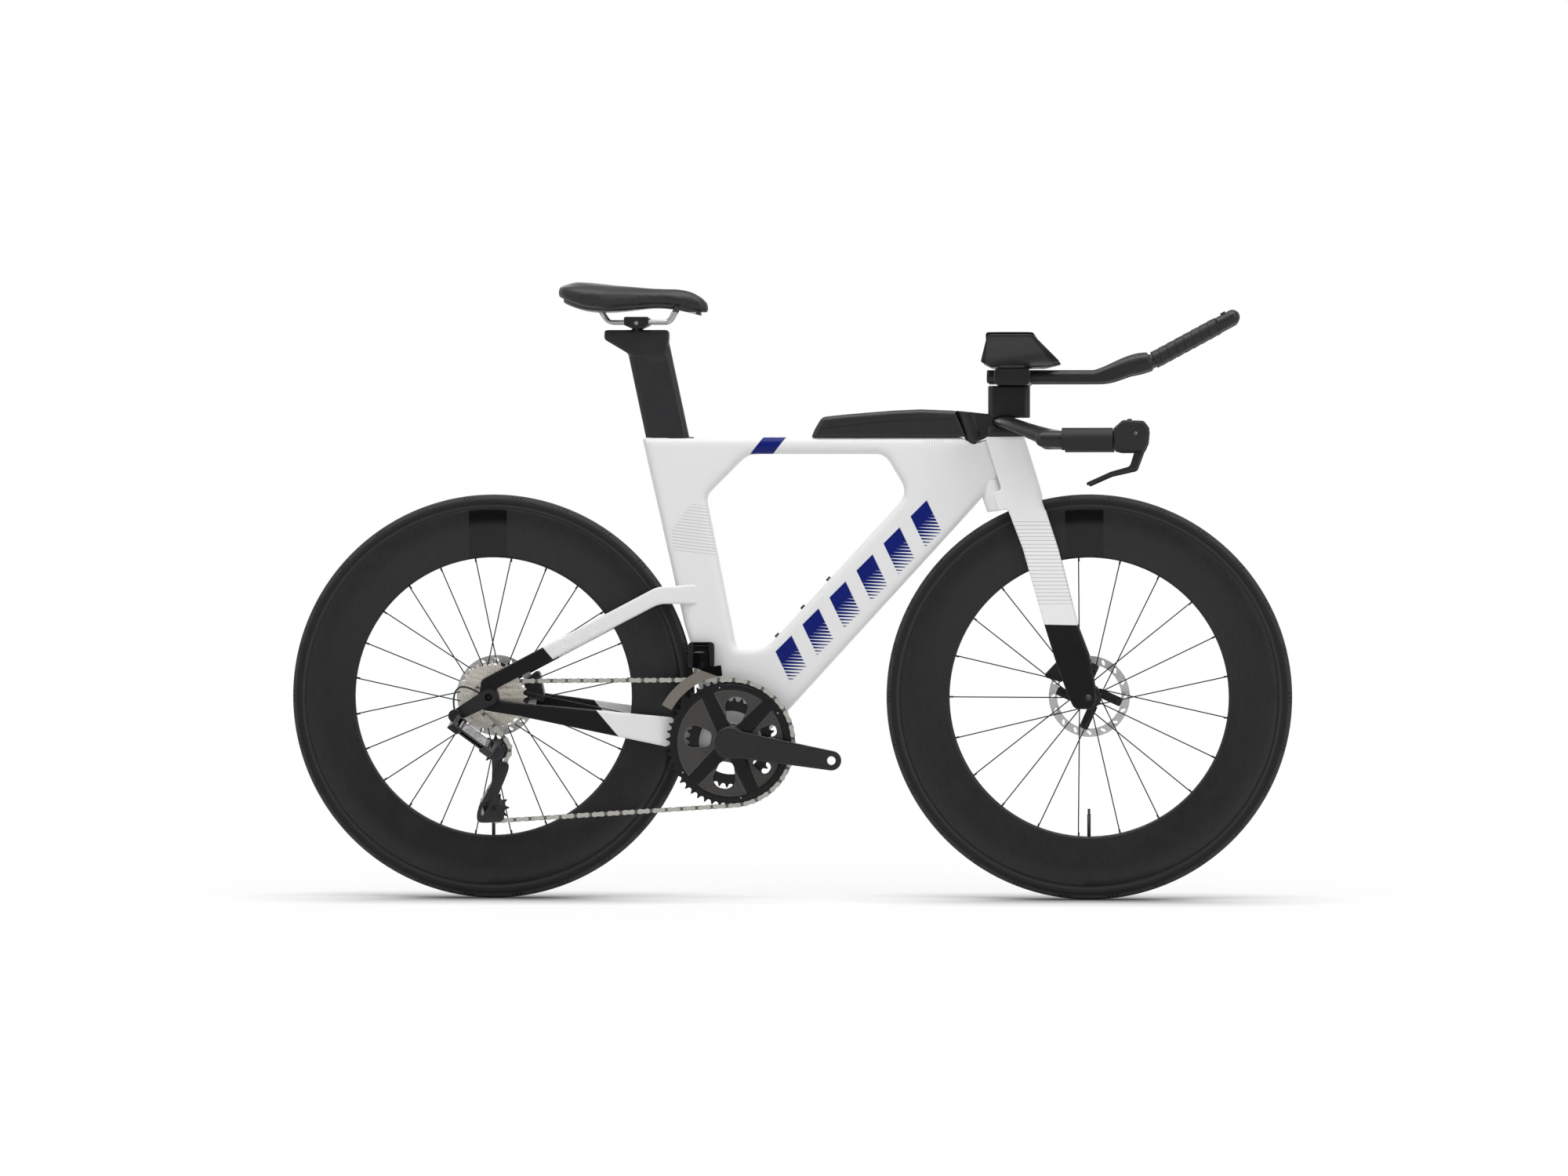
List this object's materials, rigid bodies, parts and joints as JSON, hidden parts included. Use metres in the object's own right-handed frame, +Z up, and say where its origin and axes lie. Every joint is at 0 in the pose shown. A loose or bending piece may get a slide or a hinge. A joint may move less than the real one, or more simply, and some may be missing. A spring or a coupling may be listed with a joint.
{
  "type": "time trial bike",
  "caption": "Time trial bike with aero frame, deep rims, disc brakes, chain drive with derailleurs, base bar with brake levers and arm rests with extensions.",
  "frame": {"origin": "on the ground midway between the wheel axles, in the middle plane", "axes": "+X forward, +Y to the rider's left, +Z up"},
  "size_m": [1.6779, 0.407, 1.0324],
  "materials": {
    "pearl_white": "pearl gloss",
    "satin_black": "satin",
    "rim_black": "matt carbon",
    "tyre_black": "matt",
    "black_steel": "black oxide",
    "bright_steel": "brushed",
    "grey_alloy": "anodised",
    "rubber_black": "matt",
    "pulley_black": "matt",
    "pad_foam": "felted",
    "saddle_cover": "matt",
    "rail_steel": "brushed"
  },
  "bodies": {
    "frame": {"main_frame": "pearl_white", "rear_stays": "pearl_white", "seatpost_wedge": "satin_black", "bottom_bracket": "grey_alloy", "derailleur_hanger": "grey_alloy", "rear_axle": "black_steel", "rear_caliper": "grey_alloy", "front_derailleur_body": "satin_black", "storage_box": "satin_black", "bottle_bolts": "black_steel", "chain": "bright_steel", "derailleur_wire": "rubber_black", "rd_base": "satin_black"},
    "steering": {"fork": "pearl_white", "steerer": "black_steel", "base_bar": "satin_black", "stem_cover": "satin_black", "riser_spacers": "satin_black", "extension_bridge": "satin_black", "arm_cups": "satin_black", "arm_pads": "pad_foam", "bar_grips": "rubber_black", "lever_housings": "rubber_black", "front_caliper": "grey_alloy", "front_axle": "black_steel"},
    "front_wheel": {"front_tyre": "tyre_black", "front_rim": "rim_black", "front_spokes": "black_steel", "front_hub": "grey_alloy", "front_rotor": "bright_steel"},
    "rear_wheel": {"rear_tyre": "tyre_black", "rear_rim": "rim_black", "rear_spokes": "black_steel", "rear_hub": "grey_alloy", "rear_rotor": "bright_steel"},
    "cassette": {"cassette": "bright_steel"},
    "crankset": {"crank_arm_right": "grey_alloy", "crank_arm_left": "grey_alloy", "chainrings": "grey_alloy"},
    "rd_outer_link": {"rd_outer_link": "satin_black"},
    "rd_inner_link": {"rd_inner_link": "satin_black"},
    "rd_knuckle": {"rd_knuckle": "satin_black"},
    "rd_cage": {"rd_cage": "grey_alloy"},
    "guide_pulley": {"guide_pulley": "pulley_black"},
    "tension_pulley": {"tension_pulley": "pulley_black"},
    "front_derailleur_cage": {"front_derailleur_cage": "bright_steel"},
    "seatpost": {"seatpost": "satin_black"},
    "saddle_clamp": {"saddle_clamp": "grey_alloy"},
    "saddle": {"saddle_base": "rail_steel", "saddle_pad": "saddle_cover"},
    "brake_lever_left": {"brake_lever_left": "satin_black"},
    "hood_button_left": {"hood_button_left": "rubber_black"},
    "extension_left": {"extension_left": "satin_black", "bar_tape_left": "rubber_black"},
    "shift_button_left": {"shift_button_left": "rubber_black"},
    "brake_lever_right": {"brake_lever_right": "satin_black"},
    "hood_button_right": {"hood_button_right": "rubber_black"},
    "extension_right": {"extension_right": "satin_black", "bar_tape_right": "rubber_black"},
    "shift_button_right": {"shift_button_right": "rubber_black"}
  },
  "joints": [
    {"name": "steering", "type": "hinge", "parent": "frame", "child": "steering", "pos_m": [0.45231, 0, 0.32397], "axis": [-0.3007, 0, 0.9537], "range_deg": [-45, 45]},
    {"name": "front_wheel_spin", "type": "hinge", "parent": "steering", "child": "front_wheel", "pos_m": [0.5, 0, 0.339], "axis": [0, 1, 0], "continuous": true},
    {"name": "rear_wheel_spin", "type": "hinge", "parent": "frame", "child": "rear_wheel", "pos_m": [-0.5, 0, 0.339], "axis": [0, 1, 0], "continuous": true},
    {"name": "crank_spin", "type": "hinge", "parent": "frame", "child": "crankset", "pos_m": [-0.098, 0, 0.263], "axis": [0, 1, 0], "continuous": true, "deforming": ["chain"]},
    {"name": "cassette_spin", "type": "hinge", "parent": "frame", "child": "cassette", "pos_m": [-0.5, 0, 0.339], "axis": [0, 1, 0], "continuous": true},
    {"name": "rd_swing", "type": "hinge", "parent": "frame", "child": "rd_outer_link", "pos_m": [-0.54274, -0.10727, 0.29297], "axis": [0.3973, 0.5264, 0.7517], "range_deg": [-6, 26]},
    {"name": "rd_inner_swing", "type": "hinge", "parent": "frame", "child": "rd_inner_link", "pos_m": [-0.54926, -0.09673, 0.28903], "axis": [0.3973, 0.5264, 0.7517], "range_deg": [-6, 26]},
    {"name": "rd_knuckle_swing", "type": "hinge", "parent": "rd_outer_link", "child": "rd_knuckle", "pos_m": [-0.50074, -0.09327, 0.26097], "axis": [0.3973, 0.5264, 0.7517], "range_deg": [-26, 6]},
    {"name": "rd_cage_turn", "type": "hinge", "parent": "rd_knuckle", "child": "rd_cage", "pos_m": [-0.489, -0.05814, 0.246], "axis": [0, 1, 0], "range_deg": [-25, 20], "stiffness_Nm_per_rad": 0.5},
    {"name": "guide_pulley_spin", "type": "hinge", "parent": "rd_cage", "child": "guide_pulley", "pos_m": [-0.489, -0.05814, 0.251], "axis": [0, 1, 0], "continuous": true},
    {"name": "tension_pulley_spin", "type": "hinge", "parent": "rd_cage", "child": "tension_pulley", "pos_m": [-0.49318, -0.05814, 0.15409], "axis": [0, 1, 0], "continuous": true},
    {"name": "front_derailleur_swing", "type": "hinge", "parent": "frame", "child": "front_derailleur_cage", "pos_m": [-0.148, -0.03, 0.422], "axis": [1, 0, 0], "range_deg": [0, 5]},
    {"name": "seatpost_slide", "type": "slide", "parent": "frame", "child": "seatpost", "axis": [-0.2079, 0, 0.9781], "range_m": [-0.04, 0.05]},
    {"name": "saddle_tilt", "type": "hinge", "parent": "seatpost", "child": "saddle_clamp", "pos_m": [-0.25733, 0, 0.9604], "axis": [0, 1, 0], "range_deg": [-10, 10]},
    {"name": "saddle_slide", "type": "slide", "parent": "saddle_clamp", "child": "saddle", "axis": [1, 0, 0], "range_m": [-0.015, 0.015]},
    {"name": "brake_lever_left_pull", "type": "hinge", "parent": "steering", "child": "brake_lever_left", "pos_m": [0.57826, 0.185, 0.77737], "axis": [0, 1, 0], "range_deg": [0, 18], "stiffness_Nm_per_rad": 1.5, "springref_deg": -11.46},
    {"name": "hood_button_left_press", "type": "slide", "parent": "steering", "child": "hood_button_left", "axis": [0, 0, -1], "range_m": [0, 0.0015], "stiffness_N_per_m": 800, "springref_m": -0.001},
    {"name": "extension_left_slide", "type": "slide", "parent": "steering", "child": "extension_left", "axis": [1, 0, 0], "range_m": [-0.03, 0.03]},
    {"name": "shift_button_left_press", "type": "slide", "parent": "extension_left", "child": "shift_button_left", "axis": [0.475, 0, -0.88], "range_m": [0, 0.0015], "stiffness_N_per_m": 800, "springref_m": -0.001},
    {"name": "brake_lever_right_pull", "type": "hinge", "parent": "steering", "child": "brake_lever_right", "pos_m": [0.57826, -0.185, 0.77737], "axis": [0, 1, 0], "range_deg": [0, 18], "stiffness_Nm_per_rad": 1.5, "springref_deg": -11.46},
    {"name": "hood_button_right_press", "type": "slide", "parent": "steering", "child": "hood_button_right", "axis": [0, 0, -1], "range_m": [0, 0.0015], "stiffness_N_per_m": 800, "springref_m": -0.001},
    {"name": "extension_right_slide", "type": "slide", "parent": "steering", "child": "extension_right", "axis": [1, 0, 0], "range_m": [-0.03, 0.03]},
    {"name": "shift_button_right_press", "type": "slide", "parent": "extension_right", "child": "shift_button_right", "axis": [0.475, 0, -0.88], "range_m": [0, 0.0015], "stiffness_N_per_m": 800, "springref_m": -0.001}
  ],
  "couplings": [
    {"joint": "cassette_spin", "follows": "crank_spin", "ratio": 4},
    {"joint": "guide_pulley_spin", "follows": "crank_spin", "ratio": -4.7273},
    {"joint": "tension_pulley_spin", "follows": "crank_spin", "ratio": 4.7273},
    {"joint": "rd_inner_swing", "follows": "rd_swing", "ratio": 1},
    {"joint": "rd_knuckle_swing", "follows": "rd_swing", "ratio": -1}
  ]
}
